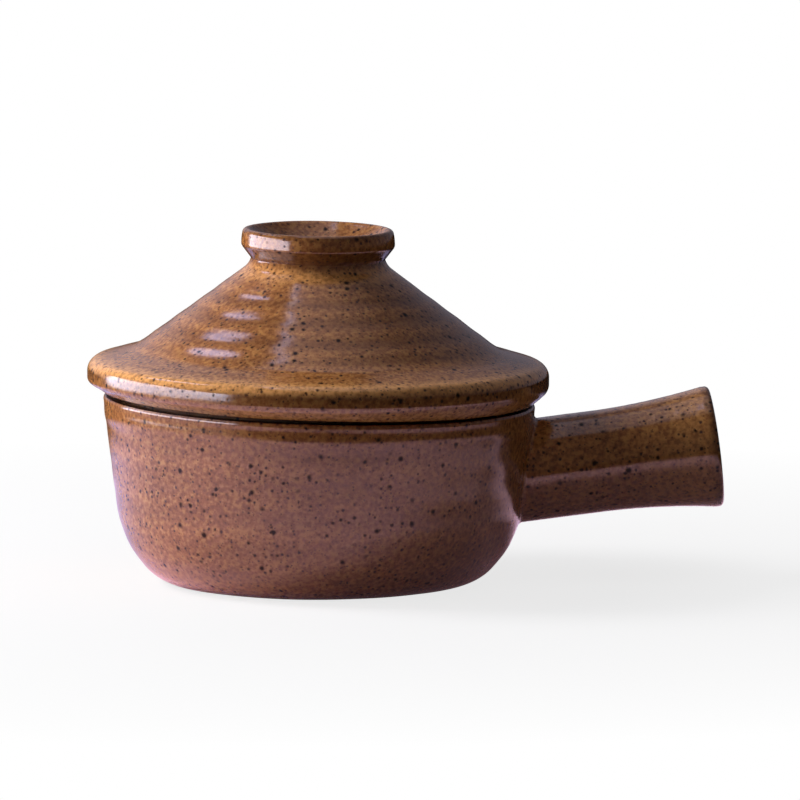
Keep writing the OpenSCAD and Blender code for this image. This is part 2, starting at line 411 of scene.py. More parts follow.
def bareStoneware(look):
    # Stoneware wiped clean of glaze and fired: dry, sandy and toasted in patches.
    material, tree = newMaterial("bare stoneware, wiped and fired")
    coords = addNode(tree, "ShaderNodeTexCoord", out="Object")
    patch, sand = (
        addNode(tree, "ShaderNodeTexNoise", {
            "Vector": coords, "Scale": 1 / (look[size] * mm), "Detail": detail})
        for size, detail in (("patchMm", 4), ("grainMm", 2)))
    toasted = addNode(tree, "ShaderNodeMapRange", {"Value": patch} | look["patches"])
    body = addNode(tree, "ShaderNodeMix", {
        0: toasted, 6: toLinear(look["body"]), 7: toLinear(look["toast"])}, **colourMix)
    colour, _ = addSpecks(tree, coords, body)
    bump = addNode(tree, "ShaderNodeBump", {
        "Height": sand, "Strength": 1, "Distance": look["grainDepthMm"] * mm})
    shader = addNode(tree, "ShaderNodeBsdfPrincipled", {
        "Base Color": colour, "Roughness": look["roughness"], "Normal": bump})
    addNode(tree, "ShaderNodeOutputMaterial", {"Surface": shader})
    return material


glaze = ironGlaze(glazeLook)
clay = bareStoneware(clayLook)
print("materials made")


# Shape trees

handMarks = {
    "sharpFrom": 38,      # edges that bend by more degrees than this stay sharp
    "mergeMm": 0.004,
    # How many steps along the outline each mark is softened
    "blur": {"along": 0, "ring": 6, "line": 6, "honey": 4, "thin": 3, "bare": 0},
    "drift": 0.35,        # share of its pitch that a ring wanders as the wheel turns
    "driftScale": 0.9,
    "thumbScale": 1.6,    # thumb marks round the coil change its width
    "thumbs": {"From Min": 0.3, "From Max": 0.7, "To Min": 0.7, "To Max": 1.3},
}


def newTree(name, sockets):
    tree = bpy.data.node_groups.new(name, "GeometryNodeTree")
    tree.interface.new_socket("Geometry", in_out="OUTPUT", socket_type="NodeSocketGeometry")
    for label, kind in sockets.items():
        tree.interface.new_socket(label, in_out="INPUT", socket_type="NodeSocket" + kind)
    return tree, tree.nodes.new("NodeGroupInput").outputs


def endTree(tree, geometry, material):
    smooth = addNode(tree, "GeometryNodeSetShadeSmooth", {"Geometry": geometry, "Shade Smooth": True})
    bend = addNode(tree, "GeometryNodeInputMeshEdgeAngle")
    corner = addNode(tree, "FunctionNodeCompare", {0: bend, 1: math.radians(handMarks["sharpFrom"])},
                     operation="GREATER_THAN")
    edged = addNode(tree, "GeometryNodeSetShadeSmooth", {
        "Geometry": smooth, "Selection": corner, "Shade Smooth": False}, domain="EDGE")
    plain = addNode(tree, "GeometryNodeRealizeInstances", {"Geometry": edged})
    painted = addNode(tree, "GeometryNodeSetMaterial", {"Geometry": plain, "Material": material})
    addNode(tree, "NodeGroupOutput", {"Geometry": painted})
    return tree


def turnGrid(tree, rows, segments, fullTurn):
    # A grid wound round an axis, with each point's row and the cosine and sine of its turn
    columns = addNode(tree, "ShaderNodeMath", {0: segments, 1: 1}, operation="ADD")
    grid = addNode(tree, "GeometryNodeMeshGrid", {"Vertices X": rows, "Vertices Y": columns})
    index = addNode(tree, "GeometryNodeInputIndex")
    column = addNode(tree, "ShaderNodeMath", {0: index, 1: columns}, operation="FLOORED_MODULO")
    share = addNode(tree, "ShaderNodeMath", {0: index, 1: columns}, operation="DIVIDE")
    row = addNode(tree, "ShaderNodeMath", {0: share}, operation="FLOOR")
    turn = addNode(tree, "ShaderNodeMath", {0: column, 1: segments}, operation="DIVIDE")
    angle = addNode(tree, "ShaderNodeMath", {0: turn, 1: fullTurn}, operation="MULTIPLY")
    return grid, row, *(addNode(tree, "ShaderNodeMath", {0: angle}, operation=part)
                        for part in ("COSINE", "SINE"))


def wheelTree():
    # Spins an outline on the wheel, then presses rings, finger lines and a hand's wobble into it
    sizes = ("Ring pitch", "Ring depth", "Line spacing", "Line depth", "Wobble size", "Wobble", "Lean",
             "Lean start", "Low lean", "Low height", "Lean height", "Seed")
    tree, given = newTree("thrown on the wheel", {
        "Outline": "Geometry", "Segments": "Int", **dict.fromkeys(sizes, "Float"),
        "Material": "Material"})
    outline = given["Outline"]
    rows = addNode(tree, "GeometryNodeAttributeDomainSize", {"Geometry": outline}, component="MESH")
    grid, row, cosine, sine = turnGrid(tree, rows, given["Segments"], -math.tau)
    place = addNode(tree, "GeometryNodeInputPosition")
    point = addNode(tree, "GeometryNodeSampleIndex", {"Geometry": outline, "Value": place, "Index": row},
                    data_type="FLOAT_VECTOR")
    flat = addNode(tree, "ShaderNodeSeparateXYZ", {0: point}).node.outputs
    spunX, spunY = (addNode(tree, "ShaderNodeMath", {0: flat["X"], 1: part}, operation="MULTIPLY")
                    for part in (cosine, sine))
    spun = addNode(tree, "ShaderNodeCombineXYZ", {"X": spunX, "Y": spunY, "Z": flat["Z"]})
    shape = addNode(tree, "GeometryNodeSetPosition", {"Geometry": grid, "Position": spun})
    marks = {}
    for label, blur in handMarks["blur"].items():
        mark = addNode(tree, "GeometryNodeInputNamedAttribute", {"Name": label}, data_type="FLOAT")
        if blur:
            mark = addNode(tree, "GeometryNodeBlurAttribute", {"Value": mark, "Iterations": blur},
                           data_type="FLOAT")
        marks[label] = addNode(tree, "GeometryNodeSampleIndex", {
            "Geometry": outline, "Value": mark, "Index": row}, data_type="FLOAT")
    # Rings wander a little as the wheel turns; finger lines are noise drawn out round the pot
    rim = addNode(tree, "ShaderNodeCombineXYZ", {"X": cosine, "Y": sine, "Z": given["Seed"]})
    drift = addNode(tree, "ShaderNodeTexNoise", {
        "Vector": rim, "Scale": handMarks["driftScale"], "Detail": 1})
    phase, height = (
        addNode(tree, "ShaderNodeMath", {0: marks["along"], 1: given[size]}, operation="DIVIDE")
        for size in ("Ring pitch", "Line spacing"))
    wandering = addNode(tree, "ShaderNodeMath", {0: drift, 1: handMarks["drift"], 2: phase},
                        operation="MULTIPLY_ADD")
    wave = addNode(tree, "ShaderNodeMath", {0: wandering, 1: math.tau}, operation="MULTIPLY")
    crest = addNode(tree, "ShaderNodeMath", {0: wave}, operation="COSINE")
    dip = addNode(tree, "ShaderNodeMapRange", {"Value": crest, "From Min": 1, "From Max": -1})
    groove = addNode(tree, "ShaderNodeMath", {0: dip, 1: marks["ring"]}, operation="MULTIPLY")
    ringed = addNode(tree, "ShaderNodeMath", {0: groove, 1: given["Ring depth"]}, operation="MULTIPLY")
    drawn = addNode(tree, "ShaderNodeCombineXYZ", {"X": cosine, "Y": sine, "Z": height})
    line = addNode(tree, "ShaderNodeTexNoise", {
        "Vector": drawn, "W": given["Seed"], "Scale": 1, "Detail": 2}, noise_dimensions="4D")
    lineMiddle = addNode(tree, "ShaderNodeMath", {0: line, 1: 0.5}, operation="SUBTRACT")
    streak = addNode(tree, "ShaderNodeMath", {0: lineMiddle, 1: marks["line"]}, operation="MULTIPLY")
    lined = addNode(tree, "ShaderNodeMath", {0: streak, 1: given["Line depth"]}, operation="MULTIPLY")
    swell = addNode(tree, "ShaderNodeMath", {0: lined, 1: ringed}, operation="SUBTRACT")
    stored = {"swell": swell, "groove": groove, "streak": streak}
    stored |= {label: marks[label] for label in ("honey", "thin", "bare")}
    for label, value in stored.items():
        shape = addNode(tree, "GeometryNodeStoreNamedAttribute", {
            "Geometry": shape, "Name": label, "Value": value}, data_type="FLOAT", domain="POINT")
    closed = addNode(tree, "GeometryNodeMergeByDistance", {
        "Geometry": shape, "Distance": handMarks["mergeMm"] * mm})
    normal = addNode(tree, "GeometryNodeInputNormal")
    outward = addNode(tree, "GeometryNodeInputNamedAttribute", {"Name": "swell"}, data_type="FLOAT")
    push = addNode(tree, "ShaderNodeVectorMath", {0: normal, "Scale": outward}, operation="SCALE")
    pressed = addNode(tree, "GeometryNodeSetPosition", {"Geometry": closed, "Offset": push})
    # The sway and the lean are fields in space, so pieces that meet move together
    spacing = addNode(tree, "ShaderNodeMath", {0: 1.0, 1: given["Wobble size"]}, operation="DIVIDE")
    sway = addNode(tree, "ShaderNodeTexNoise", {
        "Vector": place, "Scale": spacing, "Detail": 1}, out="Color")
    swayMiddle = addNode(tree, "ShaderNodeVectorMath", {0: sway, 1: (0.5, 0.5, 0.5)},
                         operation="SUBTRACT")
    swayed = addNode(tree, "ShaderNodeVectorMath", {0: swayMiddle, "Scale": given["Wobble"]},
                     operation="SCALE")
    spot = addNode(tree, "ShaderNodeSeparateXYZ", {0: place}).node.outputs
    lean = addNode(tree, "ShaderNodeMapRange", {
        "Value": spot["Z"], "From Min": given["Low height"], "From Max": given["Lean height"],
        "To Min": given["Low lean"], "To Max": given["Lean"]}, interpolation_type="SMOOTHSTEP")
    across = addNode(tree, "ShaderNodeMath", {0: spot["X"], 1: given["Lean start"]},
                     operation="SUBTRACT")
    sunk = addNode(tree, "ShaderNodeMath", {0: across, 1: lean}, operation="MULTIPLY")
    down = addNode(tree, "ShaderNodeCombineXYZ", {"Z": sunk})
    shifted = addNode(tree, "ShaderNodeVectorMath", {0: swayed, 1: down}, operation="ADD")
    leant = addNode(tree, "GeometryNodeSetPosition", {"Geometry": pressed, "Offset": shifted})
    return endTree(tree, leant, given["Material"])


def seatTree():
    # Draws a tube's root along its axis until it sinks a little into the wall that it is joined to
    tree, given = newTree("seated on the wall", {
        "Tube": "Geometry", "Wall": "Object", "Place": "Vector", "Axis": "Vector", "Fade": "Float",
        "Depth": "Float", "Material": "Material"})
    wall = addNode(tree, "GeometryNodeObjectInfo", {"Object": given["Wall"]}, out="Geometry")
    place = addNode(tree, "GeometryNodeInputPosition")
    ahead = addNode(tree, "ShaderNodeVectorMath", {0: given["Axis"], "Scale": given["Fade"]},
                    operation="SCALE")
    start = addNode(tree, "ShaderNodeVectorMath", {0: place, 1: ahead}, operation="ADD")
    inward = addNode(tree, "ShaderNodeVectorMath", {0: given["Axis"], "Scale": -1.0}, operation="SCALE")
    hit = addNode(tree, "GeometryNodeRaycast", {
        "Target Geometry": wall, "Source Position": start, "Ray Direction": inward}, out="Hit Position")
    offsets = []
    for spot in (place, hit):
        across = addNode(tree, "ShaderNodeVectorMath", {0: spot, 1: given["Place"]},
                         operation="SUBTRACT")
        offsets.append(addNode(tree, "ShaderNodeVectorMath", {0: across, 1: given["Axis"]}, out="Value",
                               operation="DOT_PRODUCT"))
    along, wallAlong = offsets
    weight = addNode(tree, "ShaderNodeMapRange", {
        "Value": along, "From Max": given["Fade"], "To Min": 1, "To Max": 0},
        interpolation_type="SMOOTHSTEP")
    sunk = addNode(tree, "ShaderNodeMath", {0: wallAlong, 1: given["Depth"]}, operation="SUBTRACT")
    slide = addNode(tree, "ShaderNodeMath", {0: sunk, 1: weight}, operation="MULTIPLY")
    slid = addNode(tree, "ShaderNodeVectorMath", {0: given["Axis"], "Scale": slide}, operation="SCALE")
    seated = addNode(tree, "GeometryNodeSetPosition", {"Geometry": given["Tube"], "Offset": slid})
    return endTree(tree, seated, given["Material"])


def coilTree():
    # A coil of clay worked into the corner between tube and wall: its face is a curve from wall to tube
    sizes = ("Turn", "Tube radius", "Width", "Bite", "Reach", "Seed")
    tree, given = newTree("coil worked into the joint", {
        "Wall": "Object", "Place": "Vector", "Axis": "Vector", "Segments": "Int", "Steps": "Int",
        **dict.fromkeys(sizes, "Float"), "Material": "Material"})
    wall = addNode(tree, "GeometryNodeObjectInfo", {"Object": given["Wall"]}, out="Geometry")
    rows = addNode(tree, "ShaderNodeMath", {0: given["Steps"], 1: 3}, operation="ADD")
    grid, row, cosine, sine = turnGrid(tree, rows, given["Segments"], math.tau)
    circle = addNode(tree, "ShaderNodeCombineXYZ", {"X": cosine, "Y": sine, "Z": given["Seed"]})
    thumb = addNode(tree, "ShaderNodeTexNoise", {
        "Vector": circle, "Scale": handMarks["thumbScale"], "Detail": 1})
    uneven = addNode(tree, "ShaderNodeMapRange", {"Value": thumb} | handMarks["thumbs"])
    width = addNode(tree, "ShaderNodeMath", {0: given["Width"], 1: uneven}, operation="MULTIPLY")
    wide = addNode(tree, "ShaderNodeMath", {0: given["Tube radius"], 1: width}, operation="ADD")
    narrow = addNode(tree, "ShaderNodeMath", {0: given["Tube radius"], 1: given["Bite"]},
                     operation="SUBTRACT")
    inward = addNode(tree, "ShaderNodeVectorMath", {0: given["Axis"], "Scale": -1.0}, operation="SCALE")
    hits = []
    for radius in (wide, given["Tube radius"], narrow):
        x, y = (addNode(tree, "ShaderNodeMath", {0: part, 1: radius}, operation="MULTIPLY")
                for part in (cosine, sine))
        level = addNode(tree, "ShaderNodeCombineXYZ", {"X": x, "Y": y, "Z": given["Reach"]})
        turned = addNode(tree, "ShaderNodeVectorRotate", {"Vector": level, "Angle": given["Turn"]},
                         rotation_type="Y_AXIS")
        start = addNode(tree, "ShaderNodeVectorMath", {0: turned, 1: given["Place"]}, operation="ADD")
        hits.append(addNode(tree, "GeometryNodeRaycast", {
            "Target Geometry": wall, "Source Position": start, "Ray Direction": inward},
            out="Hit Position"))
    onWall, corner, under = hits
    onTube = addNode(tree, "ShaderNodeVectorMath", {0: given["Axis"], 1: width, 2: corner},
                     operation="MULTIPLY_ADD")
    bitten = addNode(tree, "ShaderNodeVectorMath", {0: inward, "Scale": given["Bite"]},
                     operation="SCALE")
    inside = addNode(tree, "ShaderNodeVectorMath", {0: under, 1: bitten}, operation="ADD")
    # Its rows climb the face, then go inside and back to the start
    last = addNode(tree, "ShaderNodeMath", {0: given["Steps"], 1: 1}, operation="ADD")
    rise = addNode(tree, "ShaderNodeMath", {0: row, 1: given["Steps"]}, operation="DIVIDE")
    face = addNode(tree, "ShaderNodeMath", {0: row, 1: last}, operation="LESS_THAN")
    share = addNode(tree, "ShaderNodeMath", {0: rise, 1: face}, operation="MULTIPLY")
    # The face is two straight runs blended into one curve
    lower, upper = (addNode(tree, "ShaderNodeMix", {0: share, 4: low, 5: high}, **vectorMix)
                    for low, high in ((onWall, corner), (corner, onTube)))
    curve = addNode(tree, "ShaderNodeMix", {0: share, 4: lower, 5: upper}, **vectorMix)
    isLast = addNode(tree, "ShaderNodeMath", {0: row, 1: last, 2: 0.1}, operation="COMPARE")
    spot = addNode(tree, "ShaderNodeMix", {0: isLast, 4: curve, 5: inside}, **vectorMix)
    shape = addNode(tree, "GeometryNodeSetPosition", {"Geometry": grid, "Position": spot})
    closed = addNode(tree, "GeometryNodeMergeByDistance", {
        "Geometry": shape, "Distance": handMarks["mergeMm"] * mm})
    return endTree(tree, closed, given["Material"])


wheel, seat, coil = wheelTree(), seatTree(), coilTree()
print("shape trees built")


# Pieces

outlineStep = 1.3     # longest stretch between two points of an outline
sameSpot = 0.001
rimR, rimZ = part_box("bowl")[1].x / mm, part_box("bowl")[1].z / mm
throwing = {          # what the hand leaves on every thrown piece
    "Segments": 256,
    "Ring pitch": 11.5 * mm,
    "Ring depth": 0.0,
    "Line spacing": 3.2 * mm,
    "Line depth": 0.2 * mm,
    "Wobble size": 42 * mm,
    "Wobble": 0.5 * mm,
    "Lean": -0.025,       # the rim falls this much towards the handle, for each unit across
    "Lean start": 20 * mm,
    "Low lean": 0.0,
    "Low height": 0.0,
    "Lean height": rimZ * mm,
    "Seed": 1.0,
    "Material": glaze,
}


def outlineMesh(name, stretches):
    points, marks, lengths, ringStart = [], [], [], None
    for corners, mark in stretches:
        if mark.get("ring") and ringStart is None:
            ringStart = (lengths[-1] if lengths else 0) + mark.get("ringFrom", 0)
        for corner in corners:
            start = points[-1] if points else corner
            gap = (corner - start).length
            if points and gap < sameSpot:
                continue
            count = max(1, math.ceil(gap / mark.get("step", outlineStep)))
            for i in range(1, count + 1):
                points.append(start.lerp(corner, i / count))
                marks.append(mark)
                lengths.append((lengths[-1] if lengths else 0) + gap / count)
    mesh = bpy.data.meshes.new(name)
    mesh.from_pydata([(p.x * mm, 0, p.y * mm) for p in points],
                     [(i, i + 1) for i in range(len(points) - 1)], [])
    columns = {label: [mark.get(label, 0) for mark in marks]
               for label in ("ring", "line", "honey", "thin", "bare")}
    columns["along"] = [(length - (ringStart or 0)) * mm for length in lengths]
    for label, values in columns.items():
        mesh.attributes.new(label, "FLOAT", "POINT").data.foreach_set("value", values)
    return mesh


def runTree(piece, tree, inputs):
    modifier = piece.modifiers.new("shape", "NODES")
    modifier.node_group = tree
    for item in tree.interface.items_tree:
        if item.in_out == "INPUT" and item.name in inputs:
            modifier[item.identifier] = inputs[item.name]
    mesh = bpy.data.meshes.new_from_object(piece.evaluated_get(bpy.context.evaluated_depsgraph_get()))
    piece.modifiers.remove(modifier)
    bm = bmesh.new()
    bm.from_mesh(mesh)
    bmesh.ops.recalc_face_normals(bm, faces=bm.faces)
    bm.to_mesh(mesh)
    bm.free()
    piece.data = mesh


def throw(name, stretches, inputs):
    piece = addObject(name, outlineMesh(name, stretches))
    runTree(piece, wheel, throwing | inputs)
    piece.data.name = name
    return piece


def dress(piece, body, node):
    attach(piece, body)
    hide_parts(node)
    print(f"{piece.name}: {len(piece.data.vertices)} points on {body}")


bowlShape = {
    "wallLean": 7.4,
    "bellyR": 42,
    "footTurnR": 20,
    "turnSlope": 45,
    "wallT": 6,
    "floorT": 6.5,
    "innerTurnR": 26,
    "rimEdgeR": 1.6,
    "footRingW": 9,
    "footHollow": 1.5,
    "bareSlope": 74,       # glaze stops on the foot's curve at this slope
    "glazeLine": 4,        # in a thin line this many degrees wide
    "collarDrop": 5.2,     # the wall stands upright in a low collar under the rim
    "collarHalfH": 5,
    "collarSwell": 0.16,
    "wallSteps": 40,
    "rustShadeFrom": 55,        # the rim's top darkens in rust colour between these slopes: partly a glaze break, partly painted shade in the gap under the cover
    "rustShadeTo": 120,
    "throwing": {"Ring pitch": 13 * mm, "Ring depth": 0.3 * mm, "Line spacing": 4.4 * mm,
                 "Line depth": 0.42 * mm, "Seed": 3.0},
}


def wallAt(shape, z):
    lean, edge = shape["wallLean"], shape["rimEdgeR"]
    top = Vector((rimR - edge, rimZ - edge)) + edge * way(-lean)
    return top.x - (top.y - z) * math.tan(math.radians(lean))


def makeBowl(shape):
    lean, slope, bellyR = shape["wallLean"], shape["turnSlope"], shape["bellyR"]
    edge, turnR, hollow = shape["rimEdgeR"], shape["footTurnR"], shape["footHollow"]
    rustShadeFrom, rustShadeTo, steps = shape["rustShadeFrom"], shape["rustShadeTo"], shape["wallSteps"]
    rimOut = Vector((rimR - edge, rimZ - edge))
    rimIn = rimOut - Vector(((shape["wallT"] - 2 * edge) / way(lean).x, 0))
    wallTop = rimOut + edge * way(-lean)
    footZ = bellyR * (way(slope).y - way(lean).y) + turnR * (1 - way(slope).y)
    wallFoot = Vector((wallAt(shape, footZ), footZ))
    bellyC = wallFoot - bellyR * way(-lean)
    footC = bellyC + (bellyR - turnR) * way(-slope)
    bareEnd = -shape["bareSlope"]
    lineEnd = bareEnd + shape["glazeLine"]
    footIn = footC.x - shape["footRingW"]
    foot = [Vector((0, hollow)), Vector((footIn - hollow, hollow)), Vector((footIn, 0))]
    floorZ = hollow + shape["floorT"]
    innerZ = floorZ + shape["innerTurnR"]
    innerX = wallAt(shape, innerZ) - (shape["wallT"] + shape["innerTurnR"]) / way(lean).x
    wall = [wallFoot.lerp(wallTop, i / steps) for i in range(steps + 1)]
    wall += arc(rimOut, edge, -lean, rustShadeFrom, 6)
    for point in wall:
        past = (point.y - rimZ + shape["collarDrop"]) / shape["collarHalfH"]
        point.x -= shape["collarSwell"] * math.sin(math.pi * max(-1, min(1, past)))
    return throw("bowl_glazed", [
        (foot, {"bare": 1, "step": 3}),
        (arc(footC, turnR, -90, bareEnd, 4), {"bare": 1}),
        (arc(footC, turnR, bareEnd, lineEnd, 2), {"thin": 0.7}),
        (arc(footC, turnR, lineEnd, -slope, 8), {}),
        (arc(bellyC, bellyR, -slope, -lean, 24), {"line": 0.5, "ring": 0.4}),
        (wall, {"line": 0.5, "ring": 0.4}),
        # Rust colour on the rim's top, partly painted shade in the gap under the cover
        (arc(rimOut, edge, rustShadeFrom, 90, 4) + arc(rimIn, edge, 90, rustShadeTo, 4), {"thin": 1}),
        (arc(rimIn, edge, rustShadeTo, 180 - lean, 5), {}),
        (arc(Vector((innerX, innerZ)), shape["innerTurnR"], -lean, -90, 20), {"line": 1, "step": 2}),
        ([Vector((0, floorZ))], {"line": 1, "step": 2.5}),
    ], shape["throwing"])


bowl = makeBowl(bowlShape)
dress(bowl, "pot", "bowl")


handleShape = {
    "length": 74,
    "d": 39.5,
    "lipD": 47,
    "flareLen": 45,
    "flareShares": (0, 0.4, 0.7, 1),
    "flarePaintedLight": (0, 0.15, 0.35),    # painted light: the flare is painted lighter in honey from one share to the next, as its end stands out of the pot's shadow
    "t": 5.5,
    "lipOutR": 1.6,
    "lipInR": 2.6,
    "drop": 28.4,
    "tilt": 7,
    "rootFade": 24,       # the root bends to the wall over this length
    "rootDepth": 2,       # and sinks this far into it
    "throwing": {"Segments": 128, "Lean": 0.0, "Seed": 11.0},
}
handleZ = rimZ - handleShape["drop"]
handlePlace = Vector((wallAt(bowlShape, handleZ), 0, handleZ)) * mm
handleTurn = math.radians(90 - handleShape["tilt"])
handleAxis = Matrix.Rotation(handleTurn, 3, "Y") @ Vector((0, 0, 1))


def makeHandle(shape):
    tubeR, lipR = shape["d"] / 2, shape["t"] / 2
    rise = shape["lipD"] / 2 - tubeR
    flareR = (shape["flareLen"] ** 2 + rise ** 2) / (2 * rise)
    flareC = Vector((tubeR + flareR, shape["length"] - lipR - shape["flareLen"]))
    flareEnd = 180 - math.degrees(math.asin(shape["flareLen"] / flareR))
    lipEnd = (flareC + (flareR + lipR) * way(flareEnd)).y + lipR
    outC = Vector((shape["lipD"] / 2 - shape["lipOutR"], lipEnd - shape["lipOutR"]))
    inC = Vector((shape["lipD"] / 2 - shape["t"] + shape["lipInR"], lipEnd - shape["lipInR"]))
    root, bore = Vector((tubeR, 0)), Vector((tubeR - shape["t"], 0))
    flareTurns = [180 + (flareEnd - 180) * share for share in shape["flareShares"]]
    # The flare's honey is painted light, growing towards the end that stands out of the pot's shadow
    flare = [(arc(flareC, flareR, start, end), {"line": 1, "honey": honey})
             for start, end, honey in zip(flareTurns, flareTurns[1:], shape["flarePaintedLight"])]
    handle = throw("handle_glazed", [
        ([root], {"line": 1}), *flare,
        (arc(outC, shape["lipOutR"], flareEnd - 180, 90, 8), {"thin": 0.45}),
        (arc(inC, shape["lipInR"], 90, flareEnd, 8), {"thin": 0.3}),
        (arc(flareC, flareR + shape["t"], flareEnd, 180, 20), {"line": 1}),
        ([bore, root], {"step": 2}),
    ], shape["throwing"])
    handle.data.transform(Matrix.Translation(handlePlace) @ Matrix.Rotation(handleTurn, 4, "Y"))
    runTree(handle, seat, {
        "Wall": bowl, "Place": handlePlace, "Axis": handleAxis, "Fade": shape["rootFade"] * mm,
        "Depth": shape["rootDepth"] * mm, "Material": glaze})
    return handle


handle = makeHandle(handleShape)
dress(handle, "pot", "handle")


coilShape = {
    "width": 2.6,
    "bite": 1.4,          # it is worked this far into tube and wall
    "inTube": 0.15,       # and its edge lies this far inside the tube's face
    "reach": 40,
    "segments": 128,
    "steps": 8,
    "seed": 5.0,
}


def makeCoil(shape):
    piece = addObject("joint_coil_glazed", bpy.data.meshes.new("joint_coil_glazed"))
    runTree(piece, coil, {
        "Wall": bowl, "Place": handlePlace, "Axis": handleAxis, "Turn": handleTurn,
        "Tube radius": (handleShape["d"] / 2 - shape["inTube"]) * mm, "Width": shape["width"] * mm,
        "Bite": shape["bite"] * mm, "Reach": shape["reach"] * mm, "Segments": shape["segments"],
        "Steps": shape["steps"], "Seed": shape["seed"], "Material": glaze})
    return piece


dress(makeCoil(coilShape), "pot", "joint_coil")


# The cover: it touches the rim on the handle's side and stands a hair open opposite

coverLean = {"Lean": -0.0165, "Lean start": 30 * mm, "Low lean": -0.0315, "Low height": (rimZ + 1) * mm,
             "Lean height": (rimZ + 8.5) * mm, "Seed": 7.0}
coverShift = Vector((-0.45, 0, 0)) * mm    # within the play of the locating ring
knobShape = {
    "topR": 1.8,
    "topRustAndShade": 80,        # the top edge darkens in rust colour up to this slope: partly rust, partly a painted dark reflection
    "faceR": 20,          # its edge swells a little
    "faceH": 5.7,
    "lowR": 2.5,
    "lowPaintedShade": 20,        # the lower edge darkens in rust colour over this many degrees, as painted shade under the knob
    "neckIn": 4.2,
    "neckHighR": 3.2,
    "neckHighDrop": 13.1,
    "neckLowR": 8,
    "neckPaintedLightTo": 210,     # painted light in honey on the fillet up to this slope, painted shade above it under the knob
    "floorT": 5,
    "skirt": 1.8,         # the neck is smoothed out over the cone this far
    "hemDepth": 0.4,      # its hem starts this deep in the cone
    "hemOver": 0.03,      # and lies this much over it
    "throwing": coverLean,
}
lidShape = {
    "bandLow": 7.4,       # the upright band of the edge, above the rim
    "bandHigh": 10.0,
    "bandLowR": 4.0,
    "bandHighR": 5.2,
    "bandRustAndShade": 15,       # its upper corner darkens in rust colour over this many degrees, partly rust and partly a painted dark reflection, then turns to honey, partly a glaze break and partly painted light
    "honeyAndLightRun": 2,        # and that honey, partly painted light, runs this far on to the flange
    "lipOver": 0.8,       # the lip over the gap, above the rim
    "lipR": 0.8,
    "lipX": 83.4,
    "lipPaintedLight": 5,        # degrees of painted light, in honey, where the lip meets the band
    "seatX": 79,
    "flangeW": 18.3,
    "flangeSlope": 16,
    "valleyR": 18,
    "coneSlope": 143.39,
    "t": 6,
    "crownT": 7,
    "ceilingR": 12,
    "ringFrom": 7.75,     # the first throwing ring stands this far up the cone
    "ringFade": 13,       # and the last one dies out this far below the neck
    "neckFade": 4,
    "throwing": {"Ring depth": 0.14 * mm} | coverLean,
}
ringShape = {"t": 4, "edgeR": 1.2, "throwing": {"Line depth": 0.1 * mm, "Material": clay} | coverLean}
trim = 0.4            # the hand's wobble adds about this much to the cover
knobR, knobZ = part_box("knob")[1].x / mm - trim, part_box("knob")[1].z / mm - 2 * trim
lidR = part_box("lid")[1].x / mm - trim
ringR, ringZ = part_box("locating_ring")[1].x / mm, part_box("locating_ring")[0].z / mm


def coneLine(shape, knob):
    highR, flange, slope = shape["bandHighR"], shape["flangeSlope"], shape["coneSlope"]
    highC = Vector((lidR - highR, rimZ + shape["bandHigh"]))
    edge = highC + highR * way(90 - flange)
    rise = (edge.x - lidR + shape["flangeW"]) * math.tan(math.radians(flange))
    valley = Vector((lidR - shape["flangeW"], edge.y + rise))
    outward, neckX = way(slope - 90), knobR - knob["neckIn"]
    run = (neckX + knob["neckLowR"] * (1 - outward.x) - valley.x) / way(slope).x
    return highC, valley, outward, valley + run * way(slope)


